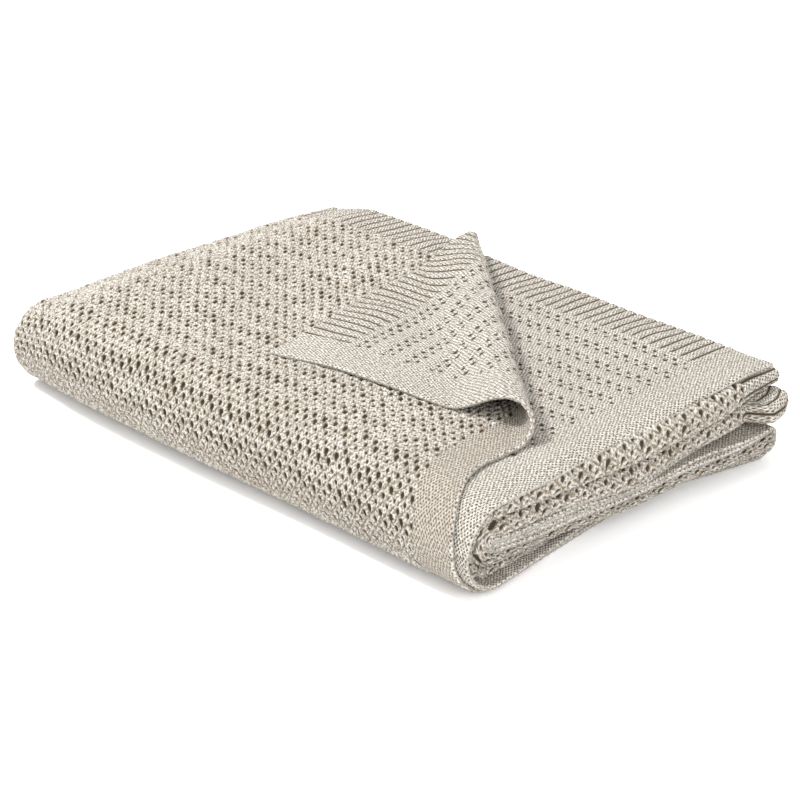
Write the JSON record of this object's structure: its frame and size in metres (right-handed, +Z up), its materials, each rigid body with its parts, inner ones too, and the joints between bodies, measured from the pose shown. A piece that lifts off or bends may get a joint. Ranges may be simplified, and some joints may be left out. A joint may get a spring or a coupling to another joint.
{
  "type": "folded throw blanket",
  "caption": "Knitted throw folded into a flat stack, with ribbed borders and plain hems; the upper half lifts and one corner of the top layer is turned back",
  "frame": {"origin": "middle of the stack's box, on the surface it lies on", "axes": "+X along the stack's long side, towards the short side with the cloth's ends; +Y from the long side with the bend to the long side with the ribbed ends; +Z up"},
  "size_m": [0.46, 0.308, 0.0903],
  "materials": {
    "field_knit": "open relief knit of heathered beige cotton yarn, matte",
    "rib_border": "ribbed knit of heathered beige cotton yarn, matte",
    "plain_hem": "fine plain knit of heathered beige cotton yarn, matte"
  },
  "bodies": {
    "lower_half": {"far_bend_ply_a": "field_knit", "far_bend_ply_b": "field_knit", "far_bend_ply_c": "field_knit", "far_bend_ply_d": "field_knit", "near_inner_bend_ply_a": "field_knit", "near_inner_bend_ply_b": "field_knit", "near_inner_bend_ply_c": "field_knit", "near_inner_bend_ply_d": "field_knit", "near_outer_bend_ply_a": "field_knit", "near_outer_bend_ply_b": "field_knit", "near_outer_bend_ply_c": "field_knit", "near_outer_bend_ply_d": "field_knit", "run_three_left_inner_bend": "field_knit", "run_three_left_outer_bend": "field_knit", "run_three_ply_a_field": "field_knit", "run_three_ply_a_hem": "plain_hem", "run_three_ply_b_field": "field_knit", "run_three_ply_b_hem": "plain_hem", "run_three_ply_c_field": "field_knit", "run_three_ply_d_field": "field_knit", "run_three_right_bend": "field_knit", "run_two_left_inner_bend": "field_knit", "run_two_left_outer_bend": "field_knit", "run_two_ply_a_field": "field_knit", "run_two_ply_a_hem": "plain_hem", "run_two_ply_b_field": "field_knit", "run_two_ply_b_hem": "plain_hem", "run_two_ply_c_field": "field_knit", "run_two_ply_d_field": "field_knit", "run_two_right_bend": "field_knit"},
    "upper_half": {"run_four_left_inner_bend": "field_knit", "run_four_left_outer_bend": "field_knit", "run_four_ply_a_field": "field_knit", "run_four_ply_a_hem": "plain_hem", "run_four_ply_b_field": "field_knit", "run_four_ply_b_hem": "plain_hem", "run_four_ply_c_field": "field_knit", "run_four_ply_d_field": "field_knit", "run_four_rib": "rib_border", "run_four_right_bend": "field_knit", "run_one_left_inner_bend": "field_knit", "run_one_left_outer_bend": "field_knit", "run_one_ply_a_field": "field_knit", "run_one_ply_a_hem": "plain_hem", "run_one_ply_a_rib": "rib_border", "run_one_ply_b_field": "field_knit", "run_one_ply_b_hem": "plain_hem", "run_one_ply_c_field": "field_knit", "run_one_ply_d_field": "field_knit", "run_one_rib": "rib_border", "run_one_right_bend": "field_knit", "turned_corner_crease": "field_knit"},
    "turned_corner": {"turned_corner_field": "field_knit", "turned_corner_hem": "plain_hem", "turned_corner_rib": "rib_border"}
  },
  "joints": [
    {"name": "upper_half_opening", "type": "hinge", "parent": "lower_half", "child": "upper_half", "pos_m": [0, -0.12018, 0.03383], "axis": [1, 0, 0], "range_deg": [0, 90], "deforming": ["near_inner_bend_ply_a", "near_inner_bend_ply_b", "near_inner_bend_ply_c", "near_inner_bend_ply_d", "near_outer_bend_ply_a", "near_outer_bend_ply_b", "near_outer_bend_ply_c", "near_outer_bend_ply_d"]},
    {"name": "corner_turn", "type": "hinge", "parent": "upper_half", "child": "turned_corner", "pos_m": [0.04825, 0.042, 0.0747], "axis": [-0.7618, 0.6476, -0.0145], "range_deg": [0, 178], "deforming": ["turned_corner_crease"]}
  ]
}
